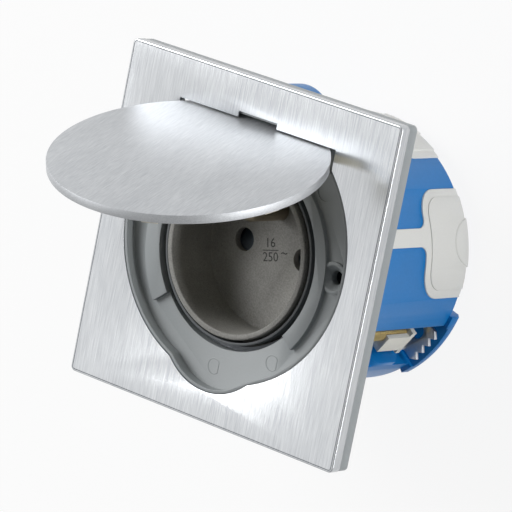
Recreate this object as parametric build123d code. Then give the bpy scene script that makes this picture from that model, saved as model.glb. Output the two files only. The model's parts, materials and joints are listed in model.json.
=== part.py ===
from build123d import *
import math
import os

# Floor socket box with a hinged lid. Sizes in millimetres.
# Z points out of the floor, X runs along the hinge, Y points to the hinge.
# The origin is the middle of the underside of the flush box.

# Levels
box_depth = 48.0
frame_edge = 3.1
skirt_height = 2.9

# Cover plate
plate_side = 86.0
plate_corner = 1.3
plate_sheet = 0.8
opening_radius = 35.1
opening_y = 2.6
finger_radius = 17.4
finger_low = 35.5
finger_fillet = 1.8
relief_half = 24.9
relief_low = 24.0
slot_width = 12.2
slot_depth = 1.5

# Hinge and lid
hinge_y = 29.6
hinge_drop = 3.3
hinge_open = 72.4
chord_from_hinge = 2.8
pin_radius = 0.75
pin_fit = 0.05
pin_half = 18.6
knuckle_radius = 1.6
knuckle_near = 6.0
knuckle_far = 14.6
ear_width = 3.0
ear_gap = 0.4
lid_radius = 33.9
lid_sheet = 0.8
lid_skirt = 2.2
lid_skirt_back = 9.0
lid_roll_half = 21.0
lid_roll_end = 40.0
carrier_gap = 0.7
carrier_web = 0.7
carrier_rim = 0.9
carrier_depth = 2.8
carrier_rib_angles = (0.0, 60.0, 120.0)
clip_count = 6
clip_width = 4.0
clip_proud = 0.6
clip_spread = 260.0

# Grey frame
frame_inset = 0.1
fit_gap = 0.2
lip_width = 0.75
lip_drop = 0.1
groove_drop = 3.1
land_drop = 1.9
land_radius = 28.4
land_shift_x = -0.5
land_shift_y = -1.0
land_low_angle = 40.0
land_high_angle = 50.0
bore_radius = 24.5
boss_x = 30.0
boss_y = 2.0
boss_radius = 3.9
boss_drop = 2.4
boss_cone = 3.1
boss_hole = 1.7
boss_cone_depth = 1.6
mark_radius = 2.6
mark_at = 31.0
mark_angle = 44.0
mark_depth = 0.3
pocket_floor = 1.5
pocket_inner = 38.5
frame_wall = 4.0
gasket_width = 2.0
gasket_depth = 1.0
gasket_inset = 1.0

# Socket
well_radius = 20.15
well_wall = 1.45
mouth_drop = 1.6
well_depth = 14.9
well_floor = 2.0
hole_pitch = 19.0
hole_radius = 2.95
earth_y = 10.0
earth_radius = 2.4
earth_reach = 14.0
earth_tip = 2.1
seal_inner = 22.3
seal_outer = 23.0
seal_drop = 2.5
insert_flange = 26.7
insert_flange_height = 2.0
strap_sheet = 1.2
strap_inner = 23.4
strap_ring = 27.5
strap_arm = 14.0
strap_reach = 34.0
fixing_pitch = 60.0
strap_screw = 1.6
strap_screw_head = 3.0
strap_screw_length = 9.0
strap_eye = 2.0
strap_recess = 0.5
clamp_screw_at = 25.6
clamp_screw = 0.8
clamp_screw_head = 1.0
clamp_screw_head_height = 0.8
clamp_screw_grip = 2.4
clamp_angles = (70.0, 190.0, 310.0)
base_radius = 20.5
base_height = 22.0
base_screw_y = 15.5
base_screw = 1.2
base_screw_head = 2.3
base_screw_head_height = 2.0
base_screw_sink = 1.0

# Shutter and its spring
shutter_half = 3.4
shutter_travel = 6.6
shutter_gap = 0.3
shutter_low = 1.2
shutter_high = 3.4
shutter_reach = 13.4
shutter_waist = 5.4
spring_radius = 1.5
spring_wire = 0.35
spring_turns = 4
spring_seat = 0.05

# Contacts and terminals
contact_sheet = 0.6
contact_gap = 4.6
contact_width = 6.0
terminal_side = 6.4
terminal_height = 6.0
terminal_recess = 1.8
terminal_web = 1.2
terminal_screw = 1.5
terminal_screw_head = 2.2
terminal_screw_head_height = 1.2
terminal_grip = 2.0
wire_way = 1.9
drive_width = 0.7
drive_depth = 0.7

# Flush box
box_radius = 33.5
box_wall = 1.6
box_chamfer = 3.5
box_flange_reach = 3.5
box_flange_height = 1.5
lobe_sink = 2.0
lobe_radius = 10.4
lobe_height = 11.0
tower_radius = 3.0
lug_reach = 4.1
lug_hole = 2.1
membrane_angles = (17.0, 80.0, 197.0, 260.0)
membrane_width = 27.0
membrane_top = 19.8
membrane_corner = 7.0
membrane_proud = 0.35
membrane_border = 2.0
membrane_field = 0.3
bridge_width = 4.6
bridge_flare = 2.2
bridge_angles = (20.0, 200.0)
bridge_near = 10.0
bridge_reach = 0.3
cap_radius = 6.5
cap_proud = 0.9
claw_angles = (-33.5, 146.5)
claw_window = 14.6
claw_pocket_depth = 7.9
claw_floor = 3.2
claw_top = 8.0
claw_rim_proud = 1.1
claw_rim_half = 10.5
claw_rim_height = 4.0
claw_rim_chamfer = 1.2
claw_screw_depth = 4.7
claw_screw_shift = 1.2
claw_screw_end = 9.0
claw_screw = 2.0
claw_screw_head = 2.8
claw_screw_head_height = 1.8
claw_plate = 10.4
claw_sheet = 1.0
claw_back_gap = 0.3
claw_proud = 0.7
claw_level = 4.8
claw_travel = 16.0
claw_tilt = 10.0
claw_teeth = 4
tooth_height = 1.5
claw_leg = 7.0
claw_leg_run = 4.0
claw_tab_under = 9.8
claw_tab_low = 2.0
claw_tab_high = 3.3
claw_slot = 2.2
ramp_inner = 4.0
ramp_gap = 0.05
nut_run = 5.8
nut_low = 2.6
nut_high = 2.4
nut_height = 10.0
nut_wing = 3.8
nut_wing_height = 1.5
nut_fit = 0.03
screw_fit = 0.03
guide_radius = 3.1
guide_height = 3.0
fin_width = 1.6
fin_reach = 5.5
fin_half = 6.5
fin_at = 15.0

floor_z = box_depth
face_z = floor_z + frame_edge + skirt_height
plate_back = face_z - plate_sheet
hinge_z = face_z - hinge_drop
chord_y = hinge_y + chord_from_hinge
groove_z = face_z - groove_drop
land_z = face_z - land_drop
mouth_z = face_z - mouth_drop
well_top = mouth_z - well_depth
well_under = well_top - well_floor
strap_under = floor_z - strap_sheet
flange_under = strap_under - insert_flange_height
base_under = well_under - base_height
terminal_low = base_under + terminal_recess
contact_low = terminal_low + terminal_height
contact_top = well_under - shutter_high - shutter_low - 2 * shutter_gap

# Places round the flush box
box_flange = box_radius + box_flange_reach
lobe_y = box_radius - lobe_sink
lug_y = box_radius + lug_reach
claw_pocket = box_radius - claw_pocket_depth
claw_screw_at = box_radius - claw_screw_depth
claw_inner = claw_pocket + claw_back_gap
claw_outer = box_radius + claw_proud
claw_ceiling = floor_z - claw_top
nut_under = claw_tab_under + claw_sheet

# cutting tools run this far past a surface, and this far where nothing else ends them
over = 1.0
far = 60.0


def block(x0, x1, y0, y1, z0, z1):
    return Pos((x0 + x1) / 2, (y0 + y1) / 2, (z0 + z1) / 2) * Box(x1 - x0, y1 - y0, z1 - z0)


def rod(x, y, z0, z1, radius):
    return Pos(x, y, (z0 + z1) / 2) * Cylinder(radius, z1 - z0)


def tube(x, y, z0, z1, inner, outer):
    return rod(x, y, z0, z1, outer) - rod(x, y, z0 - over, z1 + over, inner)


def cone(x, y, z0, z1, low_radius, high_radius):
    return Pos(x, y, (z0 + z1) / 2) * Cone(low_radius, high_radius, z1 - z0)


def lifted(sketch, z0, z1):
    return Pos(0, 0, z0) * extrude(sketch, z1 - z0)


def turned(shape, angle):
    return Rot(0, 0, angle) * shape


def at_angle(radius, angle):
    turn = math.radians(angle)
    return radius * math.cos(turn), radius * math.sin(turn)


def wedge(start, end):
    # a sector of the plane from one angle to the other
    steps = 8
    points = [(0, 0)]
    for index in range(steps + 1):
        points.append(at_angle(2 * far, start + (end - start) * index / steps))
    return make_face(Polyline(*points, close=True))


def drive_slot(x, y, face, inward, reach):
    # straight slot in a screw head whose open face is at height face
    low, high = sorted((face - inward * over, face + inward * drive_depth))
    return block(x - reach, x + reach, y - drive_width / 2, y + drive_width / 2, low, high)


def save(shape, name):
    solids = shape.solids() if hasattr(shape, "solids") else list(shape)
    result = solids[0] if len(solids) == 1 else Compound(children=solids)
    result.label = name
    export_step(result, f"parts/{name}.step")


def opening_sketch():
    # circle, finger notch and hinge relief, cut straight along the hinge chord
    finger_y = finger_radius - finger_low
    shape = Pos(0, opening_y) * Circle(opening_radius)
    shape += Pos(0, finger_y) * Circle(finger_radius)
    relief_height = chord_y - relief_low
    shape += Pos(0, relief_low + relief_height / 2) * Rectangle(2 * relief_half, relief_height)
    shape -= Pos(0, chord_y + far / 2) * Rectangle(2 * far, far)
    kinks = shape.vertices().filter_by(lambda corner: corner.Y < -finger_radius)
    return fillet(kinks, finger_fillet)


opening = opening_sketch()


def make_cover_plate():
    outline = RectangleRounded(plate_side, plate_side, plate_corner)
    inside = RectangleRounded(plate_side - 2 * plate_sheet, plate_side - 2 * plate_sheet,
                              plate_corner - plate_sheet)
    plate = lifted(outline, face_z - skirt_height, face_z)
    plate = fillet(plate.edges().group_by(Axis.Z)[-1], plate_sheet / 2)
    plate -= lifted(inside, face_z - skirt_height, plate_back)
    slot = Pos(0, chord_y) * Rectangle(slot_width, 2 * slot_depth)
    plate -= lifted(opening + slot, plate_back - over, face_z + over)
    return plate


def make_support_frame():
    side = plate_side - 2 * frame_inset
    inner_side = plate_side - 2 * (plate_sheet + fit_gap)
    edge_z = floor_z + frame_edge
    frame = lifted(RectangleRounded(side, side, plate_corner), floor_z, edge_z)
    step = RectangleRounded(inner_side, inner_side, plate_corner - plate_sheet)
    frame += lifted(step, edge_z, plate_back)
    lip = offset(opening, amount=-fit_gap, kind=Kind.INTERSECTION)
    recess = offset(opening, amount=-fit_gap - lip_width, kind=Kind.INTERSECTION)
    frame += lifted(lip, edge_z, face_z - lip_drop)
    frame -= lifted(recess, groove_z, face_z + over)
    frame += raised_lands()
    frame -= rod(0, 0, floor_z - over, face_z, bore_radius)
    frame += screw_boss()
    boss_top = face_z - boss_drop
    frame -= cone(boss_x, boss_y, boss_top - boss_cone_depth, boss_top, boss_hole, boss_cone)
    frame -= rod(boss_x, boss_y, floor_z - over, face_z, boss_hole)
    frame -= hinge_trough()
    frame += hinge_ears()
    mark_x, mark_y = at_angle(mark_at, mark_angle)
    frame -= rod(mark_x, mark_y, groove_z - mark_depth, groove_z + over, mark_radius)
    frame -= underside_pockets()
    frame -= gasket_ring()
    for angle in clamp_angles:
        x, y = at_angle(clamp_screw_at, angle)
        frame -= rod(x, y, floor_z - over, floor_z + clamp_screw_grip, clamp_screw)
    return frame


def raised_lands():
    edge = Pos(land_shift_x, land_shift_y) * Circle(land_radius) - Circle(bore_radius)
    right = edge & wedge(-land_low_angle, land_high_angle)
    left = edge & wedge(180 - land_high_angle, 180 + land_low_angle)
    lands = lifted(right, groove_z - over, land_z) + lifted(left, groove_z - over, land_z)
    return lands


def screw_boss():
    boss = rod(boss_x, boss_y, groove_z - over, face_z - boss_drop, boss_radius)
    return boss


def hinge_trough():
    gap = 2 * fit_gap
    half = relief_half + fit_gap
    reach = hinge_drop + gap
    low = hinge_z - knuckle_radius - gap
    return block(-half, half, hinge_y - reach, hinge_y + reach, low, face_z + over)


def hinge_ears():
    near = knuckle_far + ear_gap
    ears = None
    for side in (-1, 1):
        x = side * (near + ear_width / 2)
        post = Pos(x, hinge_y, hinge_z) * Rot(0, 90, 0) * Cylinder(knuckle_radius, ear_width)
        foot_z = hinge_z - knuckle_radius - 2 * fit_gap
        post += block(x - ear_width / 2, x + ear_width / 2, hinge_y - knuckle_radius,
                      hinge_y + knuckle_radius, foot_z - fit_gap, hinge_z)
        post -= Pos(x, hinge_y, hinge_z) * Rot(0, 90, 0) * Cylinder(pin_radius, ear_width + over)
        ears = post if ears is None else ears + post
    return ears


def underside_pockets():
    side = plate_side - 2 * frame_wall
    room = RectangleRounded(side, side, plate_corner) - Circle(pocket_inner)
    room -= Rectangle(2 * frame_wall, plate_side)
    room -= Rectangle(plate_side, 2 * frame_wall)
    return lifted(room, floor_z, plate_back - pocket_floor)


def gasket_ring():
    outer = plate_side - 2 * (frame_inset + gasket_inset)
    inner = outer - 2 * gasket_width
    ring = RectangleRounded(outer, outer, plate_corner) - RectangleRounded(inner, inner, plate_corner / 2)
    return lifted(ring, floor_z, floor_z + gasket_depth)


def hinge_move(shape):
    return Pos(0, hinge_y, hinge_z) * Rot(-hinge_open, 0, 0) * Pos(0, -hinge_y, -hinge_z) * shape


def make_lid_plate():
    disc = Pos(0, opening_y) * Circle(lid_radius)
    front = disc - Pos(0, hinge_y + far / 2) * Rectangle(2 * far, far)
    lid = lifted(front, face_z - lid_sheet, face_z)
    skirt = disc - Pos(0, opening_y) * Circle(lid_radius - lid_sheet)
    skirt -= Pos(0, hinge_y - lid_skirt_back + far / 2) * Rectangle(2 * far, far)
    lid += lifted(skirt, face_z - lid_skirt, face_z - lid_sheet)
    ring = Circle(hinge_drop) - Circle(hinge_drop - lid_sheet)
    ring &= wedge(lid_roll_end, 90)
    roll = extrude(Plane.YZ * ring, lid_roll_half, both=True)
    roll = Pos(0, hinge_y, hinge_z) * roll
    lid += roll & rod(0, opening_y, hinge_z, face_z + over, lid_radius)
    return hinge_move(lid)


def make_lid_carrier():
    rim_radius = lid_radius - lid_sheet - carrier_gap
    web_top = face_z - lid_sheet
    web_under = web_top - carrier_web
    low = face_z - carrier_depth
    cut = Pos(0, hinge_y - hinge_drop - fit_gap + far / 2) * Rectangle(2 * far, far)
    web = Pos(0, opening_y) * Circle(rim_radius) - cut
    rim = Pos(0, opening_y) * (Circle(rim_radius) - Circle(rim_radius - carrier_rim)) - cut
    carrier = lifted(web, web_under, web_top) + lifted(rim, low, web_under)
    carrier += tube(0, 0, face_z - seal_drop + 2 * fit_gap, web_under, seal_inner, seal_outer)
    rib = well_radius - 2 * carrier_rim
    for angle in carrier_rib_angles:
        bar = block(-rib, rib, -carrier_web, carrier_web, web_under - carrier_web, web_under)
        carrier += turned(bar, angle)
    for index in range(clip_count):
        clip = block(rim_radius - carrier_rim, rim_radius + clip_proud, -clip_width / 2, clip_width / 2,
                     low, face_z - lid_skirt)
        turn = clip_spread * (index / (clip_count - 1) - 0.5) - 90
        carrier += Pos(0, opening_y) * turned(clip, turn)
    for side in (-1, 1):
        x0, x1 = sorted((side * knuckle_near, side * knuckle_far))
        arm = block(x0, x1, hinge_y - 2 * hinge_drop, hinge_y, hinge_z + 2 * carrier_web, web_top)
        arm += block(x0, x1, hinge_y - knuckle_radius, hinge_y, hinge_z, web_top)
        barrel = Pos((x0 + x1) / 2, hinge_y, hinge_z) * Rot(0, 90, 0)
        arm += barrel * Cylinder(knuckle_radius, x1 - x0)
        carrier += arm
        carrier -= barrel * Cylinder(pin_radius + pin_fit, x1 - x0 + over)
    carrier -= rod(boss_x, boss_y, low - over, web_under, boss_radius + 2 * fit_gap)
    return hinge_move(carrier)


def make_hinge_pin():
    return Pos(0, hinge_y, hinge_z) * Rot(0, 90, 0) * Cylinder(pin_radius, 2 * pin_half)


def make_socket_insert():
    outer = well_radius + well_wall
    insert = rod(0, 0, well_under, mouth_z, outer)
    insert += rod(0, 0, flange_under, strap_under, insert_flange)
    insert -= rod(0, 0, well_top, mouth_z + over, well_radius)
    rims = insert.edges().group_by(Axis.Z)[-1]
    insert = fillet(rims, well_wall / 5)
    for side in (-1, 1):
        insert -= rod(side * hole_pitch / 2, 0, well_under - over, well_top + over, hole_radius)
        x = side * base_screw_y
        insert -= rod(x, -base_screw_y / 2, well_under - over, well_under + well_floor / 2, base_screw)
    insert -= rod(0, earth_y, well_under - over, well_top + over, earth_radius)
    for angle in clamp_angles:
        x, y = at_angle(clamp_screw_at, angle)
        insert -= rod(x, y, flange_under - over, strap_under + over, clamp_screw)
    return insert


def make_well_seal():
    return tube(0, 0, strap_under, face_z - seal_drop, seal_inner, seal_outer)


def make_mounting_strap():
    sheet = Circle(strap_ring)
    sheet += Rectangle(strap_arm, 2 * strap_reach)
    sheet += Pos(boss_x / 2, boss_y) * Rectangle(boss_x, 2 * (boss_hole + strap_eye))
    sheet += Pos(boss_x, boss_y) * Circle(boss_hole + strap_eye)
    sheet -= Circle(strap_inner)
    sheet -= Pos(boss_x, boss_y) * Circle(boss_hole)
    for angle in clamp_angles:
        x, y = at_angle(clamp_screw_at, angle)
        sheet -= Pos(x, y) * Circle(clamp_screw)
    strap = lifted(sheet, strap_under, floor_z)
    sink_low = strap_screw_head - strap_sheet
    for side in (-1, 1):
        strap -= cone(0, side * fixing_pitch / 2, strap_under, floor_z, sink_low, strap_screw_head)
    return strap


def make_strap_screws():
    screws = []
    sink_low = strap_screw_head - strap_sheet
    for side in (-1, 1):
        y = side * fixing_pitch / 2
        screw = cone(0, y, strap_under, floor_z, sink_low, strap_screw_head)
        screw += rod(0, y, strap_under - strap_screw_length, strap_under, strap_screw)
        screw -= drive_slot(0, y, floor_z, -1, strap_screw_head)
        screws.append(screw)
    return Compound(children=[screw.solid() for screw in screws])


def make_clamp_screws():
    screws = []
    for angle in clamp_angles:
        x, y = at_angle(clamp_screw_at, angle)
        screw = rod(x, y, flange_under, floor_z + clamp_screw_grip, clamp_screw)
        screw += rod(x, y, flange_under - clamp_screw_head_height, flange_under, clamp_screw_head)
        screws.append(screw.solid())
    return Compound(children=screws)


def make_earth_pin():
    tip = well_top + earth_reach
    pin = rod(0, earth_y, contact_low, tip, earth_radius)
    return fillet(pin.edges().group_by(Axis.Z)[-1], earth_tip)


def shutter_room():
    # hollow in the top of the base where the shutter slides
    half = shutter_half + shutter_gap
    reach = shutter_reach + shutter_gap
    depth = shutter_high + shutter_low + 2 * shutter_gap
    return block(-reach, reach, -half - shutter_travel, half, well_under - depth, well_under + over)


def make_socket_base():
    base = rod(0, 0, base_under, well_under, base_radius)
    base = chamfer(base.edges().group_by(Axis.Z)[0], box_wall)
    base -= shutter_room()
    base -= spring_room()
    room = contact_gap / 2 + contact_sheet + shutter_gap / 2
    reach = contact_width / 2 + shutter_gap
    for side in (-1, 1):
        x = side * hole_pitch / 2
        base -= block(x - room, x + room, -reach, reach, terminal_low, contact_top + over)
        base -= rod(x, 0, base_under - over, terminal_low + over, terminal_screw_head + shutter_gap)
        base -= wire_channel(x, -far, 0)
        x = side * base_screw_y
        y = -base_screw_y / 2
        base -= rod(x, y, base_under - over, well_under + over, base_screw)
        sink = base_under + base_screw_sink + base_screw_head_height
        base -= rod(x, y, base_under - over, sink, base_screw_head + shutter_gap)
    base -= rod(0, earth_y, contact_low, well_under + over, earth_radius)
    half = terminal_side / 2
    base -= block(-half, half, earth_y - half, earth_y + half, base_under - over, contact_low)
    base -= wire_channel(0, earth_y, far)
    return base


def wire_channel(x, y0, y1):
    z = terminal_low + terminal_height / 2
    return Pos(x, (y0 + y1) / 2, z) * Rot(90, 0, 0) * Cylinder(wire_way, y1 - y0)


def spring_room():
    y0 = -shutter_half - shutter_gap - shutter_travel
    z = well_under - shutter_low - spring_radius
    return block(-2 * spring_radius, 2 * spring_radius, y0 - 2 * spring_radius, y0 + over,
                 z - spring_radius - spring_wire, well_under + over)


def make_shutter():
    z0 = well_under - shutter_gap
    low = z0 - shutter_low - shutter_high
    profile = Polyline((-shutter_half, z0), (-shutter_half, low), (shutter_half, low),
                       (shutter_half, z0 - shutter_high), close=True)
    wing = make_face(Plane.YZ * profile)
    body = extrude(wing, shutter_reach, both=True)
    body -= block(-shutter_waist, shutter_waist, 0, far, z0 - far, z0 + over)
    return body


def make_shutter_spring():
    y0 = -shutter_half - spring_seat
    y1 = -shutter_half - shutter_gap - shutter_travel - 2 * spring_radius + spring_seat
    z = well_under - shutter_low - spring_radius
    length = y0 - y1 - 2 * spring_wire
    path = Helix(pitch=length / spring_turns, height=length, radius=spring_radius)
    section = Plane(origin=path @ 0, z_dir=path % 0) * Circle(spring_wire)
    coil = sweep(section, path=path, is_frenet=True)
    return Pos(0, y0 - spring_wire, z) * Rot(90, 0, 0) * coil


def make_contact(x):
    # spring fork for the plug pin, standing on its screw terminal
    half = contact_gap / 2
    outer = half + contact_sheet
    reach = contact_width / 2
    clip = block(x - outer, x + outer, -reach, reach, terminal_low, contact_top)
    clip -= block(x - half, x + half, -far, far, contact_low + contact_sheet, contact_top + over)
    clip -= rod(x, 0, terminal_low - over, contact_low - terminal_web, terminal_screw)
    middle = terminal_low + terminal_height / 2
    clip -= Pos(x, 0, middle) * Rot(90, 0, 0) * Cylinder(terminal_screw, contact_width + over)
    return clip


def make_earth_terminal():
    half = terminal_side / 2 - shutter_gap
    body = block(-half, half, earth_y - half, earth_y + half, terminal_low, contact_low)
    body -= rod(0, earth_y, terminal_low - over, contact_low - terminal_web, terminal_screw)
    middle = terminal_low + terminal_height / 2
    body -= Pos(0, earth_y, middle) * Rot(90, 0, 0) * Cylinder(terminal_screw, terminal_side + over)
    return body


def make_terminal_screws():
    screws = []
    head = terminal_low - terminal_screw_head_height
    for x, y in ((-hole_pitch / 2, 0), (hole_pitch / 2, 0), (0, earth_y)):
        screw = rod(x, y, head, terminal_low, terminal_screw_head)
        screw += rod(x, y, terminal_low, terminal_low + terminal_grip, terminal_screw)
        screw -= drive_slot(x, y, head, 1, terminal_screw_head)
        screws.append(screw.solid())
    return Compound(children=screws)


def make_base_screws():
    screws = []
    head = base_under + base_screw_sink
    for side in (-1, 1):
        x = side * base_screw_y
        y = -base_screw_y / 2
        screw = rod(x, y, head, well_under + well_floor / 2, base_screw)
        screw += rod(x, y, head, head + base_screw_head_height, base_screw_head)
        screw -= drive_slot(x, y, head, 1, base_screw_head)
        screws.append(screw.solid())
    return Compound(children=screws)


def barrel(outset, low, high):
    # the round outside of the box with its lower chamfer, grown by outset
    radius = box_radius + outset
    body = rod(0, 0, low, high, radius)
    return chamfer(body.edges().group_by(Axis.Z)[0], box_chamfer)


def box_hollow():
    # the room inside the box, whose lower edge follows the outer chamfer
    body = rod(0, 0, box_wall, floor_z + over, box_radius - box_wall)
    return chamfer(body.edges().group_by(Axis.Z)[0], box_chamfer - box_wall / 2)


def membrane_outline(inset):
    # rounded patch that runs down over the chamfer, on the plane the radius looks at
    top = membrane_top - inset
    outline = Pos(0, (top - far) / 2) * Rectangle(membrane_width - 2 * inset, top + far)
    return fillet(outline.vertices().group_by(Axis.Y)[-1], membrane_corner - inset)


def bridged_outline(offset_y):
    # the patch with the strip that joins it to the flange
    top = floor_z - box_flange_height
    length = top - membrane_top + over
    strip = Pos(offset_y, top - length / 2) * Rectangle(bridge_width, length)
    outline = membrane_outline(0) + strip
    corners = []
    for corner in outline.vertices():
        at_top = abs(corner.Y - membrane_top) < bridge_reach
        at_strip = abs(abs(corner.X - offset_y) - bridge_width / 2) < bridge_reach
        if at_top and at_strip:
            corners.append(corner)
    return fillet(corners, bridge_flare)


def window(outline, angle):
    shape = extrude(Plane.YZ * outline, far)
    return turned(shape & block(0, far, -far, far, 2 * box_wall, far), angle)


def membrane_window(angle):
    for bridge in bridge_angles:
        if abs(bridge - angle) < bridge_near:
            return window(bridged_outline(box_radius * math.sin(math.radians(bridge - angle))), angle)
    return window(membrane_outline(0), angle)


def claw_block(angle, grow):
    # walls of a claw pocket, or its hollow when grow is zero
    half = claw_window / 2 + grow
    top = claw_ceiling + grow
    return turned(block(claw_pocket - grow, far, -half, half, claw_floor - grow, top), angle)


def lobe(side, z0, z1, radius):
    return rod(0, side * lobe_y, z0, z1, radius)


def make_box_body():
    flange_z = floor_z - box_flange_height
    box = barrel(0, 0, floor_z) + rod(0, 0, flange_z, floor_z, box_flange)
    for side in (-1, 1):
        box += lobe(side, floor_z - lobe_height, floor_z, lobe_radius)
    for angle in claw_angles:
        ring = rod(0, 0, 0, claw_rim_height, box_radius + claw_rim_proud)
        ring = chamfer(ring.edges().group_by(Axis.Z)[0], claw_rim_chamfer)
        ring -= rod(0, 0, -over, far, box_radius - box_chamfer)
        half = math.degrees(claw_rim_half / box_radius)
        box += ring & lifted(wedge(angle - half, angle + half), 0, far)
    hollow = box_hollow()
    for angle in claw_angles:
        hollow -= claw_block(angle, box_wall)
    for side in (-1, 1):
        hollow -= rod(0, side * fixing_pitch / 2, floor_z - lobe_height, floor_z, tower_radius)
    box -= hollow
    for angle in claw_angles:
        box -= claw_block(angle, 0)
        box += claw_fin(angle) & barrel(0, 0, floor_z)
        box += claw_ramps(angle)
        x, y = claw_screw_place(angle)
        box -= rod(x, y, claw_ceiling - over, floor_z + over, claw_screw)
    for side in (-1, 1):
        box -= rod(0, side * lug_y, 0, floor_z + over, lug_hole)
        low = strap_under - strap_screw_length - over
        box -= rod(0, side * fixing_pitch / 2, low, floor_z + over, strap_screw)
    recess = Rectangle(strap_arm + 2 * strap_recess, 2 * (strap_reach + strap_recess))
    box -= lifted(recess, strap_under, floor_z + over)
    box -= rod(boss_x, boss_y, strap_under, floor_z + over, boss_hole + strap_eye + fit_gap)
    for angle in membrane_angles:
        box -= membrane_window(angle) & rod(0, 0, 0, floor_z, box_radius + over)
    return box


def membrane(angle):
    core = box_hollow()
    patch = membrane_window(angle)
    piece = patch & (barrel(membrane_proud, 0, floor_z) - core)
    field = window(membrane_outline(membrane_border), angle)
    piece += field & (barrel(membrane_proud + membrane_field, 0, floor_z) - core)
    x, y = at_angle(box_radius - box_chamfer / 2, angle)
    tilt = Pos(x, y, box_chamfer / 2) * turned(Rot(0, 135, 0), angle)
    cap = tilt * Pos(0, 0, cap_proud / 2 - box_wall) * Cylinder(cap_radius, cap_proud + 2 * box_wall)
    limits = rod(0, 0, 0, far, box_radius + cap_proud) - rod(0, 0, -over, far, box_radius - box_wall / 2)
    piece += cap & limits & patch
    return piece


def make_membranes():
    pieces = []
    for angle in membrane_angles:
        pieces.extend(membrane(angle).solids())
    return Compound(children=pieces)


def claw_screw_place(angle):
    x, y = at_angle(claw_screw_at, angle)
    side_x, side_y = at_angle(claw_screw_shift, angle + 90)
    return x + side_x, y + side_y


def claw_fin(angle):
    # curved fin on the lower side of the claw window
    profile = Pos(claw_pocket + fin_reach / 2, fin_at) * Ellipse(fin_reach, fin_half)
    fin = extrude(Plane.XZ * profile, fin_width)
    return turned(Pos(0, fin_width - claw_window / 2, 0) * fin, angle)


def claw_ramps(angle):
    # two sloping rails that push the claw outward as the nut lifts it
    slope = math.tan(math.radians(claw_tilt))
    start = claw_level + claw_sheet + claw_leg
    end = start + claw_travel
    foot = claw_inner - ramp_gap
    low = start - (foot - claw_pocket) / slope
    root = claw_pocket - box_wall / 2
    corners = [(root, low), (claw_pocket, low), (foot + claw_travel * slope, end), (root, end)]
    rail = make_face(Polyline(*corners, close=True))
    wide = claw_window / 2 - ramp_inner
    rail = extrude(Plane.XZ * rail, wide)
    return turned(Pos(0, -ramp_inner, 0) * rail + Pos(0, ramp_inner + wide, 0) * rail, angle)


def make_claw(angle):
    # toothed plate with an open fork for the screw and two legs whose tabs carry the nut
    half = claw_plate / 2
    top = claw_level + claw_sheet
    root = claw_outer - tooth_height
    outline = Pos((root + claw_inner) / 2, 0) * Rectangle(root - claw_inner, claw_plate)
    pitch = claw_plate / claw_teeth
    for index in range(claw_teeth):
        y = (index + 0.5) * pitch - half
        tooth = Polyline((root, y - pitch / 2), (claw_outer, y), (root, y + pitch / 2), close=True)
        outline += make_face(tooth)
    slot = Pos(claw_screw_at, claw_screw_shift) * Circle(claw_slot)
    slot += Pos(claw_screw_at - far / 2, claw_screw_shift) * Rectangle(far, 2 * claw_slot)
    plate = lifted(outline - slot, claw_level, top)
    leg_end = claw_inner + claw_leg_run
    for side, tab in ((-1, claw_tab_low), (1, claw_tab_high)):
        y0, y1 = sorted((side * half, side * (half - claw_sheet)))
        plate += block(claw_inner, leg_end, y0, y1, claw_level, top + claw_leg)
        y0, y1 = sorted((side * half, side * tab))
        plate += block(claw_inner, leg_end, y0, y1, claw_tab_under, nut_under)
    return turned(plate, angle)


def make_claw_nut(angle):
    # slide with an open side, so the thread shows along it
    x1 = claw_inner + nut_run
    nut = block(claw_inner, x1, -nut_low, nut_high, nut_under, nut_under + nut_height)
    nut += block(claw_inner, x1, -nut_wing, nut_wing, nut_under, nut_under + nut_wing_height)
    top = nut_under + nut_height
    nut -= rod(claw_screw_at, claw_screw_shift, nut_under - over, top + over, claw_screw + nut_fit)
    return turned(nut, angle)


def make_claw_screw(angle):
    x, y = claw_screw_place(angle)
    seat = claw_ceiling + box_wall
    top = seat + claw_screw_head_height
    screw = rod(x, y, claw_screw_end, seat, claw_screw - screw_fit)
    screw += rod(x, y, seat, top, claw_screw_head)
    return screw - drive_slot(x, y, top, -1, claw_screw_head)


def make_claw_guides():
    guides = []
    for angle in claw_angles:
        x, y = claw_screw_place(angle)
        guide = tube(x, y, claw_ceiling - guide_height, claw_ceiling, claw_screw + nut_fit, guide_radius)
        guides.append(guide.solid())
    return Compound(children=guides)


def build():
    os.makedirs("parts", exist_ok=True)
    save(make_cover_plate(), "cover_plate")
    save(make_support_frame(), "support_frame")
    save(gasket_ring(), "frame_gasket")
    save(make_lid_plate(), "lid_plate")
    save(make_lid_carrier(), "lid_carrier")
    save(make_hinge_pin(), "hinge_pin")
    save(make_socket_insert(), "socket_insert")
    save(make_well_seal(), "well_seal")
    save(make_mounting_strap(), "mounting_strap")
    save(make_strap_screws(), "strap_screws")
    save(make_clamp_screws(), "clamp_screws")
    save(make_earth_pin(), "earth_pin")
    save(make_socket_base(), "socket_base")
    save(make_shutter(), "shutter")
    save(make_shutter_spring(), "shutter_spring")
    save(make_contact(-hole_pitch / 2), "live_contact")
    save(make_contact(hole_pitch / 2), "neutral_contact")
    save(make_earth_terminal(), "earth_terminal")
    save(make_terminal_screws(), "terminal_screws")
    save(make_base_screws(), "base_screws")
    save(make_box_body(), "box_body")
    save(make_membranes(), "box_membranes")
    save(make_claw_guides(), "claw_guides")
    for name, angle in zip(("right", "left"), claw_angles):
        save(make_claw(angle), f"{name}_claw")
        save(make_claw_nut(angle), f"{name}_claw_nut")
        save(make_claw_screw(angle), f"{name}_claw_screw")


build()
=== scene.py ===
import json
import math

import bmesh
import bpy
from mathutils import Matrix, Vector

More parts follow.
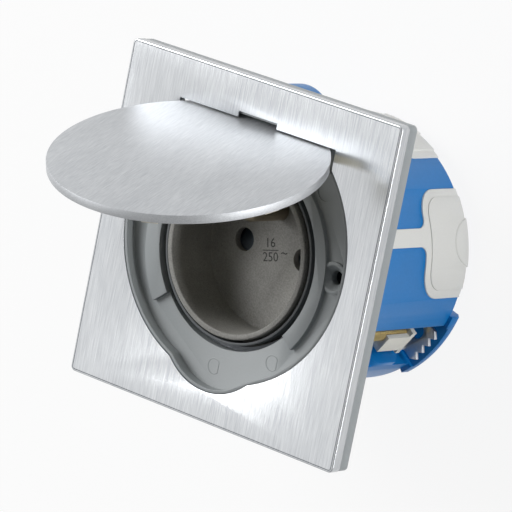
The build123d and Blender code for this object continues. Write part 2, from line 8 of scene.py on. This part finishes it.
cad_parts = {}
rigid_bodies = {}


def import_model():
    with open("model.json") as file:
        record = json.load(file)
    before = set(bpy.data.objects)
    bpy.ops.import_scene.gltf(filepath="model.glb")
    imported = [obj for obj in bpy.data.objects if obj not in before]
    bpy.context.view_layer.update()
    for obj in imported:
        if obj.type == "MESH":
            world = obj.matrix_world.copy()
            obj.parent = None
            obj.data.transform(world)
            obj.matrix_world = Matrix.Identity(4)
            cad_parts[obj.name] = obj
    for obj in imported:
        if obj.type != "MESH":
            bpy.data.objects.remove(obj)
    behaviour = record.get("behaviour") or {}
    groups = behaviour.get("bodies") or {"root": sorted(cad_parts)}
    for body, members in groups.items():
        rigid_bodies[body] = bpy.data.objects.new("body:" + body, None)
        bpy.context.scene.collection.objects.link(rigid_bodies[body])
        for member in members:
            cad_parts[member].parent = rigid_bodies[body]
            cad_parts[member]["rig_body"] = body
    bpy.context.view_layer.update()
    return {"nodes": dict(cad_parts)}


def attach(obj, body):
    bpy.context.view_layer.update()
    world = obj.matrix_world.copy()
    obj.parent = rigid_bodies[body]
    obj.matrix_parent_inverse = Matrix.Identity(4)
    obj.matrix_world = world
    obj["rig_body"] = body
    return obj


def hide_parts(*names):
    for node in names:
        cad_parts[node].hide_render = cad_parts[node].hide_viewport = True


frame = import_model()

nodes = frame["nodes"]
mm = 0.001

# where things are in the model, in millimetres and degrees
place = {
    "faceZ": 54.0,
    "wellFloorZ": 37.5,
    "grooveZ": 50.9,
    "lidOpen": 72.4,
    "clawRadius": 28.8,
    "clawShift": 1.2,
    "clawAngles": {"right": -33.5, "left": 146.5},
    "screwSeat": 41.6,
}


class Wire:
    # a node socket that takes Python arithmetic
    def __init__(self, finish, socket):
        self.finish = finish
        self.socket = socket

    def maths(self, operation, first, second):
        return self.finish.node("ShaderNodeMath", {"operation": operation}, {0: first, 1: second})

    def __add__(self, other):
        return self.maths("ADD", self, other)

    def __radd__(self, other):
        return self.maths("ADD", other, self)

    def __sub__(self, other):
        return self.maths("SUBTRACT", self, other)

    def __mul__(self, other):
        return self.maths("MULTIPLY", self, other)

    def __rmul__(self, other):
        return self.maths("MULTIPLY", other, self)


class Finish:
    # one material, its nodes written as expressions
    def __init__(self, name, constants):
        self.material = bpy.data.materials.new(name)
        self.material.use_nodes = True
        self.tree = self.material.node_tree
        self.surface = self.tree.nodes["Principled BSDF"]
        for socket, value in constants.items():
            self.surface.inputs[socket].default_value = value

    def node(self, kind, settings=None, inputs=None, output=0):
        made = self.tree.nodes.new(kind)
        for key, value in (settings or {}).items():
            if key == "stops":
                self.fillRamp(made.color_ramp, value)
            else:
                setattr(made, key, value)
        for key, value in (inputs or {}).items():
            self.put(made.inputs[key], value)
        return Wire(self, made.outputs[output])

    def put(self, socket, value):
        if isinstance(value, Wire):
            self.tree.links.new(value.socket, socket)
        else:
            socket.default_value = value

    def fillRamp(self, ramp, stops):
        while len(ramp.elements) < len(stops):
            ramp.elements.new(0.5)
        for element, (position, grey) in zip(ramp.elements, stops):
            element.position = position
            element.color = (grey, grey, grey, 1)

    def where(self, turn=(0, 0, 0), stretch=(1, 1, 1)):
        coordinates = self.node("ShaderNodeTexCoord", output="Object")
        turn = tuple(math.radians(angle) for angle in turn)
        return self.node("ShaderNodeMapping", {"vector_type": "TEXTURE"},
                         {"Vector": coordinates, "Rotation": turn, "Scale": stretch})

    def noise(self, where, size, detail, rough):
        # size is the width of one blotch in millimetres
        return self.node("ShaderNodeTexNoise", inputs={"Vector": where, "Scale": 1 / (size * mm),
                                                       "Detail": detail, "Roughness": rough})

    def ramp(self, value, stops):
        return self.node("ShaderNodeValToRGB", {"stops": stops}, {0: value})

    def blend(self, factor, first, second):
        return self.node("ShaderNodeMix", {"data_type": "RGBA"},
                         {0: factor, 6: first, 7: second}, output=2)

    def feed(self, colour, rough, height, depth, strength):
        # depth is the bump's depth in millimetres
        bump = self.node("ShaderNodeBump", inputs={"Strength": strength, "Distance": depth * mm,
                                                   "Height": height})
        for socket, value in (("Base Color", colour), ("Roughness", rough), ("Normal", bump)):
            self.put(self.surface.inputs[socket], value)
        return self.material


def linear(red, green, blue):
    # a screen colour, 0 to 255, as the shader wants it
    def one(value):
        value /= 255
        return value / 12.92 if value <= 0.04045 else ((value + 0.055) / 1.055) ** 2.4
    return (one(red), one(green), one(blue), 1)


# sizes in millimetres: the widths of noise blotches and the bumps' depths
brushed = {
    "light": linear(214, 216, 218), "dark": linear(177, 180, 184), "streak": 28.0, "hairStreak": 112.0,
    "fineSize": 0.28, "hairSize": 0.14, "cloudSize": 9.0, "cloudStretch": 3.0, "roughSpan": 0.14,
    "depth": 0.012, "strength": 0.6,
}


def brushedMetal(name, turn, rough):
    # turn is the way the brushing runs, in degrees
    finish = Finish(name, {"Metallic": 1.0, "Specular IOR Level": 0.5})
    fine = finish.noise(finish.where(turn, (1, brushed["streak"], 1)), brushed["fineSize"], 3, 0.6)
    hair = finish.noise(finish.where(turn, (1, brushed["hairStreak"], 1)), brushed["hairSize"], 2, 0.5)
    cloud = finish.noise(finish.where(turn, (1, brushed["cloudStretch"], 1)), brushed["cloudSize"], 3, 0.6)
    mask = finish.ramp(fine * 0.55 + hair * 0.25 + cloud * 0.2, [(0.3, 0), (0.7, 1)])
    colour = finish.blend(mask, brushed["dark"], brushed["light"])
    shine = rough + brushed["roughSpan"] * (fine * 0.6 + cloud * 0.4)
    return finish.feed(colour, shine, fine * 0.6 + hair * 0.4, brushed["depth"], brushed["strength"])


def scaled(colour, factor):
    return tuple(min(channel * factor, 1) for channel in colour[:3]) + (1,)


moulded = {"cloudSize": 14.0, "cloudRough": 0.12, "speckRough": 0.06, "strength": 0.7}


def mouldedPlastic(name, colour, rough, grain, depth, spread, gloss=0.5):
    # fine spark-eroded grain, a cloudy tone and slightly shinier high spots;
    # grain and depth in millimetres, spread the tone's share up and down
    finish = Finish(name, {"Specular IOR Level": gloss})
    base = finish.where()
    speck = finish.noise(base, grain, 4, 0.65)
    cloud = finish.noise(base, moulded["cloudSize"], 3, 0.55)
    tone = finish.ramp(speck * 0.6 + cloud * 0.4, [(0.32, 0), (0.68, 1)])
    shade = finish.blend(tone, scaled(colour, 1 - spread), scaled(colour, 1 + spread))
    shine = rough + moulded["cloudRough"] * (cloud - 0.5) - moulded["speckRough"] * speck
    return finish.feed(shade, shine, speck, depth, moulded["strength"])


worn = {
    "cloudSize": 2.5, "scratchSize": 0.25, "scratchTurn": (20, 35, 15), "scratchStretch": (1, 12, 1),
    "darker": 0.8, "cloudRough": 0.15, "scratchRough": 0.1, "depth": 0.01, "strength": 0.4,
}


def plainMetal(name, colour, rough):
    # cloudy metal with fine scratches
    finish = Finish(name, {"Metallic": 1.0})
    cloud = finish.noise(finish.where(), worn["cloudSize"], 4, 0.6)
    scratched = finish.where(worn["scratchTurn"], worn["scratchStretch"])
    scratch = finish.noise(scratched, worn["scratchSize"], 3, 0.6)
    mask = finish.ramp(cloud * 0.6 + scratch * 0.4, [(0.35, 0), (0.6, 1)])
    shade = finish.blend(mask, scaled(colour, worn["darker"]), colour)
    shine = rough + worn["cloudRough"] * (cloud - 0.5) + worn["scratchRough"] * scratch
    return finish.feed(shade, shine, scratch, worn["depth"], worn["strength"])


print("finishes")
finishes = {
    "brushedPlate": brushedMetal("brushedPlate", (0, 0, 0), 0.17),
    "brushedLid": brushedMetal("brushedLid", (-place["lidOpen"], 0, 38), 0.46),
    "greyFrame": mouldedPlastic("greyFrame", linear(156, 161, 163), 0.46, 0.5, 0.012, 0.03),
    "creamCarrier": mouldedPlastic("creamCarrier", linear(226, 220, 200), 0.42, 0.6, 0.01, 0.03),
    "warmGreyInsert": mouldedPlastic("warmGreyInsert", linear(141, 140, 136), 0.66, 0.42, 0.09, 0.34),
    # edgeShadow is painted shade: the dark colour of the strip along the plate's bend
    "edgeShadow": mouldedPlastic("edgeShadow", linear(118, 122, 128), 0.6, 0.5, 0.01, 0.03, 0.2),
    "numeralGrey": mouldedPlastic("numeralGrey", linear(44, 44, 43), 0.6, 0.3, 0.02, 0.1),
    "blackSeal": mouldedPlastic("blackSeal", linear(84, 88, 91), 0.55, 0.5, 0.02, 0.06),
    "zincSteel": plainMetal("zincSteel", linear(205, 208, 212), 0.32),
    "dullZinc": plainMetal("dullZinc", linear(112, 115, 119), 0.5),
    "springSteel": plainMetal("springSteel", linear(180, 182, 186), 0.28),
    # the earth pin's dull brass, darkened further as painted shade for the shadow it sits in under the lid
    "earthBrassPaintedShade": plainMetal("earthBrassPaintedShade", linear(158, 148, 130), 0.42),
    "contactBrass": plainMetal("contactBrass", linear(212, 178, 112), 0.34),
    "blueGreyShutter": mouldedPlastic("blueGreyShutter", linear(104, 114, 128), 0.4, 0.5, 0.01, 0.04),
    "darkBase": mouldedPlastic("darkBase", linear(60, 62, 64), 0.5, 0.5, 0.02, 0.06),
    "blueBox": mouldedPlastic("blueBox", linear(14, 117, 188), 0.4, 0.7, 0.01, 0.05, 0.28),
    "whiteMembrane": mouldedPlastic("whiteMembrane", linear(226, 226, 222), 0.55, 0.5, 0.015, 0.02),
    "whiteNylon": mouldedPlastic("whiteNylon", linear(228, 226, 216), 0.42, 0.6, 0.01, 0.03),
    "yellowZinc": plainMetal("yellowZinc", linear(212, 192, 138), 0.32),
}

# node: finish, edge rounding in millimetres (none keeps the model's own mesh)
carried = {
    "cover_plate": ("brushedPlate", 0.10),
    "support_frame": ("greyFrame", 0.16),
    "frame_gasket": ("blackSeal", None),
    "lid_plate": ("brushedLid", 0.12),
    "lid_carrier": ("creamCarrier", 0.12),
    "hinge_pin": ("zincSteel", None),
    "socket_insert": ("warmGreyInsert", 0.15),
    "well_seal": ("blackSeal", 0.15),
    "mounting_strap": ("dullZinc", None),
    "strap_screws": ("zincSteel", None),
    "clamp_screws": ("zincSteel", None),
    "earth_pin": ("earthBrassPaintedShade", None),
    "socket_base": ("darkBase", None),
    "shutter": ("blueGreyShutter", 0.1),
    "shutter_spring": ("springSteel", None),
    "live_contact": ("contactBrass", None),
    "neutral_contact": ("contactBrass", None),
    "earth_terminal": ("contactBrass", None),
    "terminal_screws": ("zincSteel", None),
    "base_screws": ("zincSteel", None),
    "box_body": ("blueBox", 0.25),
    "box_membranes": ("whiteMembrane", 0.2),
    "claw_guides": ("whiteNylon", 0.15),
    "right_claw": ("zincSteel", 0.08),
    "right_claw_nut": ("whiteNylon", 0.15),
    "left_claw": ("zincSteel", 0.08),
    "left_claw_nut": ("whiteNylon", 0.15),
}
# angles in degrees, the weld distance in metres
rounding = {"weld": 2e-6, "flatAngle": 0.6, "sharpAngle": 35.0, "segments": 2, "shadeAngle": 32.0}


def softened(node, finish, radius):
    # a copy of a node's mesh with its sharp edges rounded
    shape = bmesh.new()
    shape.from_mesh(nodes[node].data)
    bmesh.ops.remove_doubles(shape, verts=shape.verts, dist=rounding["weld"])
    bmesh.ops.dissolve_limit(shape, angle_limit=math.radians(rounding["flatAngle"]), verts=shape.verts,
                             edges=shape.edges)
    sharpAngle = math.radians(rounding["sharpAngle"])
    sharp = [edge for edge in shape.edges
             if len(edge.link_faces) == 2 and edge.calc_face_angle(0) > sharpAngle]
    bmesh.ops.bevel(shape, geom=sharp, offset=radius * mm, offset_type="OFFSET", profile=0.5,
                    segments=rounding["segments"], affect="EDGES", material=-1, clamp_overlap=True)
    mesh = bpy.data.meshes.new(node + "Soft")
    shape.to_mesh(mesh)
    shape.free()
    addPiece(node + "Soft", mesh, finish, nodes[node]["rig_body"], node)


def addPiece(name, mesh, finish, body, replaced=None):
    for face in mesh.polygons:
        face.use_smooth = True
    mesh.set_sharp_from_angle(angle=math.radians(rounding["shadeAngle"]))
    mesh.materials.clear()
    mesh.materials.append(finishes[finish])
    piece = bpy.data.objects.new(name, mesh)
    bpy.context.scene.collection.objects.link(piece)
    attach(piece, body)
    if replaced:
        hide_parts(replaced)


for node, (finish, radius) in carried.items():
    if radius:
        softened(node, finish, radius)
    else:
        for slot in nodes[node].material_slots:
            slot.material = finishes[finish]
print("carried-over pieces")

# radii, height of the lower end and pitch in millimetres
thread = {
    "low": 9.0, "root": 1.42, "crest": 1.96, "pitch": 0.7, "bulge": 0.7,
    "around": 28, "perTurn": 6, "coil": -1,
}


def threadRadius(height, turn):
    phase = (height / thread["pitch"] - thread["coil"] * turn) % 1
    flank = (1 - abs(2 * phase - 1)) ** thread["bulge"]
    return thread["root"] + (thread["crest"] - thread["root"]) * flank


def makeClawScrew(side):
    # the screw's own head on a shank with a cut thread
    node = side + "_claw_screw"
    angle = math.radians(place["clawAngles"][side])
    x = place["clawRadius"] * math.cos(angle) - place["clawShift"] * math.sin(angle)
    y = place["clawRadius"] * math.sin(angle) + place["clawShift"] * math.cos(angle)
    shape = bmesh.new()
    shape.from_mesh(nodes[node].data)
    bmesh.ops.remove_doubles(shape, verts=shape.verts, dist=rounding["weld"])
    bmesh.ops.bisect_plane(shape, geom=shape.verts[:] + shape.edges[:] + shape.faces[:], clear_inner=True,
                           plane_co=(0, 0, place["screwSeat"] * mm), plane_no=(0, 0, 1))
    bmesh.ops.holes_fill(shape, edges=[edge for edge in shape.edges if edge.is_boundary])
    length = place["screwSeat"] - thread["low"]
    rows = round(length / thread["pitch"] * thread["perTurn"])
    rings = []
    for row in range(rows + 1):
        height = thread["low"] + length * row / rows
        ring = []
        for step in range(thread["around"]):
            turn = step / thread["around"]
            radius = threadRadius(height, turn)
            about = 2 * math.pi * turn
            spot = (x + radius * math.cos(about), y + radius * math.sin(about), height)
            ring.append(shape.verts.new(Vector(spot) * mm))
        rings.append(ring)
    for below, above in zip(rings, rings[1:]):
        for step in range(thread["around"]):
            after = (step + 1) % thread["around"]
            shape.faces.new((below[step], below[after], above[after], above[step]))
    shape.faces.new(reversed(rings[0]))
    shape.faces.new(rings[-1])
    bmesh.ops.recalc_face_normals(shape, faces=shape.faces)
    mesh = bpy.data.meshes.new(side + "ClawScrewCut")
    shape.to_mesh(mesh)
    shape.free()
    addPiece(side + "ClawScrewCut", mesh, "yellowZinc", nodes[node]["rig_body"], node)


for side in place["clawAngles"]:
    makeClawScrew(side)
print("claw screws")

# plain numbers on the well's floor, all turned together; a line is text, place along, across, height;
# capital is the height of a capital as a part of the font size
numerals = {
    "proud": 0.08, "middle": (-0.9, -0.4), "turn": 15.0,
    "lines": [("16", 0.0, 1.75, 2.3), ("250", 0.0, -1.75, 2.3), ("~", 4.3, -0.6, 2.6)],
    "bar": (5.0, 0.22), "capital": 0.7, "curveSteps": 3,
}


def textMesh(words, height, along, across):
    curve = bpy.data.curves.new("numerals", "FONT")
    curve.body = words
    curve.size = height / numerals["capital"]
    curve.extrude = numerals["proud"] / 2
    curve.align_x = "CENTER"
    curve.align_y = "CENTER"
    curve.resolution_u = numerals["curveSteps"]
    source = bpy.data.objects.new("numeralSource", curve)
    mesh = bpy.data.meshes.new_from_object(source)
    bpy.data.objects.remove(source)
    mesh.transform(Matrix.Translation((along, across, 0)))
    return mesh


def makeNumerals():
    shape = bmesh.new()
    for words, along, across, height in numerals["lines"]:
        shape.from_mesh(textMesh(words, height, along, across))
    wide, thick = numerals["bar"]
    flat = Matrix.Diagonal((wide, thick, numerals["proud"], 1))
    bmesh.ops.create_cube(shape, size=1, matrix=flat)
    spot = Vector((*numerals["middle"], place["wellFloorZ"])) * mm
    turn = Matrix.Rotation(math.radians(numerals["turn"]), 4, "Z")
    shape.transform(Matrix.Translation(spot) @ turn @ Matrix.Scale(mm, 4))
    mesh = bpy.data.meshes.new("wellNumerals")
    shape.to_mesh(mesh)
    shape.free()
    addPiece("wellNumerals", mesh, "numeralGrey", nodes["socket_insert"]["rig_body"])


makeNumerals()

# faint moulding marks on the frame: shallow rings with a flat side
marks = {
    "radius": 1.9, "proud": 0.05, "wide": 0.16, "flat": 0.72, "around": 40,
    "spots": {"Left": (-0.7, -29.4), "Right": (16.6, -23.4)},
}


def makeMark(name, spot):
    shape = bmesh.new()
    profile = [(-marks["wide"], 0), (0, marks["proud"]), (marks["wide"], 0)]
    loops = []
    for step in range(marks["around"]):
        angle = 2 * math.pi * step / marks["around"]
        loop = []
        for across, height in profile:
            reach = marks["radius"] + across
            x = min(reach * math.cos(angle), marks["flat"] * marks["radius"] + across)
            corner = Vector(spot) + Vector((x, reach * math.sin(angle), height))
            loop.append(shape.verts.new(corner * mm))
        loops.append(loop)
    for step, loop in enumerate(loops):
        after = loops[(step + 1) % marks["around"]]
        for low in range(len(profile) - 1):
            shape.faces.new((loop[low], loop[low + 1], after[low + 1], after[low]))
    bmesh.ops.recalc_face_normals(shape, faces=shape.faces)
    for face in shape.faces:
        if face.normal.z < 0:
            face.normal_flip()
    mesh = bpy.data.meshes.new(name)
    shape.to_mesh(mesh)
    shape.free()
    addPiece(name, mesh, "greyFrame", nodes["support_frame"]["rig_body"])


for side, (x, y) in marks["spots"].items():
    makeMark("mouldMark" + side, (x, y, place["grooveZ"]))
print("small marks")

# the plate's outline and the painted shade line inside it, in millimetres
edgeShade = {"half": 43.0, "corner": 1.3, "inset": 0.5, "width": 0.2, "proud": 0.01, "steps": 6}


def roundedSquare(inset):
    # points of the plate's outline moved inward, in millimetres
    centre = edgeShade["half"] - edgeShade["corner"]
    radius = edgeShade["corner"] - inset
    points = []
    for quarter, (side, end) in enumerate(((1, 1), (-1, 1), (-1, -1), (1, -1))):
        for step in range(edgeShade["steps"] + 1):
            angle = math.pi / 2 * (quarter + step / edgeShade["steps"])
            points.append((side * centre + radius * math.cos(angle), end * centre + radius * math.sin(angle)))
    return points


def makeEdgeShade():
    # painted shade: a dark strip laid where the face of the plate turns down into its skirt, standing in for
    # the shade of that bend
    shape = bmesh.new()
    height = place["faceZ"] + edgeShade["proud"]
    loops = []
    for inset in (edgeShade["inset"], edgeShade["inset"] + edgeShade["width"]):
        loops.append([shape.verts.new(Vector((x, y, height)) * mm) for x, y in roundedSquare(inset)])
    outer, inner = loops
    for step in range(len(outer)):
        after = (step + 1) % len(outer)
        shape.faces.new((outer[step], outer[after], inner[after], inner[step]))
    mesh = bpy.data.meshes.new("plateEdgeShade")
    shape.to_mesh(mesh)
    shape.free()
    addPiece("plateEdgeShade", mesh, "edgeShadow", nodes["cover_plate"]["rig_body"])


makeEdgeShade()
print("edge line")

# the floor's side and drop in metres; ambient, mirrored and floorShine are strengths of light
stage = {
    "floorSide": 4.0,
    "floorDrop": 0.0002,
    "floorColour": (0.86, 0.86, 0.86, 1),
    "floorRough": 0.9,
    "floorGloss": 0.1,
    "floorShine": 0.90,
    "skyColour": (0.93, 0.96, 1, 1),
    "ambient": 0.07,
    "mirrored": 0.42,
}


def makeFloor():
    shape = bmesh.new()
    bmesh.ops.create_grid(shape, x_segments=1, y_segments=1, size=stage["floorSide"] / 2)
    bmesh.ops.translate(shape, verts=shape.verts, vec=(0, 0, -stage["floorDrop"]))
    mesh = bpy.data.meshes.new("studioFloor")
    shape.to_mesh(mesh)
    shape.free()
    floor = bpy.data.objects.new("studioFloor", mesh)
    bpy.context.scene.collection.objects.link(floor)
    finish = Finish("studioFloor", {"Base Color": stage["floorColour"], "Roughness": stage["floorRough"],
                                    "Specular IOR Level": stage["floorGloss"]})
    seen = finish.node("ShaderNodeLightPath", output="Is Camera Ray")
    mirrored = finish.node("ShaderNodeLightPath", output="Is Glossy Ray")
    through = finish.node("ShaderNodeLightPath", output="Is Transmission Ray")
    factor = (seen + mirrored + through) * stage["floorShine"]
    glow = finish.node("ShaderNodeEmission", inputs={"Color": (1, 1, 1, 1), "Strength": 1.0})
    plain = Wire(finish, finish.surface.outputs[0])
    mixed = finish.node("ShaderNodeMixShader", inputs={0: factor, 1: plain, 2: glow})
    finish.put(finish.tree.nodes["Material Output"].inputs["Surface"], mixed)
    mesh.materials.append(finish.material)


def makeWorld():
    # dim for plain light, brighter where a shiny surface mirrors it, white to the camera
    world = bpy.data.worlds.new("studio")
    bpy.context.scene.world = world
    world.use_nodes = True
    tree = world.node_tree
    path = tree.nodes.new("ShaderNodeLightPath")
    shown = tree.nodes["Background"]
    shown.inputs["Color"].default_value = stage["skyColour"]
    shown.inputs["Strength"].default_value = stage["ambient"]
    for ray, strength in (("Is Glossy Ray", stage["mirrored"]), ("Is Camera Ray", 1.0)):
        other = tree.nodes.new("ShaderNodeBackground")
        other.inputs["Color"].default_value = (1, 1, 1, 1)
        other.inputs["Strength"].default_value = strength
        mix = tree.nodes.new("ShaderNodeMixShader")
        tree.links.new(path.outputs[ray], mix.inputs[0])
        tree.links.new(shown.outputs[0], mix.inputs[1])
        tree.links.new(other.outputs[0], mix.inputs[2])
        shown = mix
    tree.links.new(shown.outputs[0], tree.nodes["World Output"].inputs["Surface"])


def makeLamp(name, position, target, size, power):
    light = bpy.data.lights.new(name, "AREA")
    light.shape = "RECTANGLE"
    light.size, light.size_y = size
    light.energy = power
    lamp = bpy.data.objects.new(name, light)
    lamp.location = position
    lamp.rotation_euler = (Vector(target) - Vector(position)).to_track_quat("-Z", "Y").to_euler()
    bpy.context.scene.collection.objects.link(lamp)


def makeCamera():
    view = {"position": (0.62058, 0.20656, 0.85065), "lens": 298.07, "sensor": 36, "near": 0.01,
            "right": (0.753081, 0.192812, -0.629041), "up": (-0.275645, 0.960602, -0.035558),
            "back": (0.597402, 0.200170, 0.776559)}
    camera = bpy.data.objects.new("camera", bpy.data.cameras.new("camera"))
    camera.data.sensor_width = view["sensor"]
    camera.data.lens = view["lens"]
    camera.data.clip_start = view["near"]
    camera.data.dof.use_dof = False
    turn = Matrix((view["right"], view["up"], view["back"])).transposed().to_4x4()
    camera.matrix_world = Matrix.Translation(view["position"]) @ turn
    bpy.context.scene.collection.objects.link(camera)
    bpy.context.scene.camera = camera


makeFloor()
makeWorld()
makeLamp("softLamp", (-0.98, -0.30, 1.20), (0, 0, 0.05), (1.6, 1.6), 5.3)
makeLamp("keyLamp", (-0.90, 0.42, 0.82), (0, 0, 0.04), (0.7, 0.7), 13.0)
makeLamp("sideLamp", (0.9, 0.10, 0.07), (0, 0, 0.03), (0.9, 0.14), 5.0)
makeLamp("backLamp", (0.1, 0.95, 0.35), (0, 0, 0.05), (0.9, 0.5), 1.2)
makeCamera()
bpy.context.scene.view_settings.view_transform = "Standard"
print("stage")
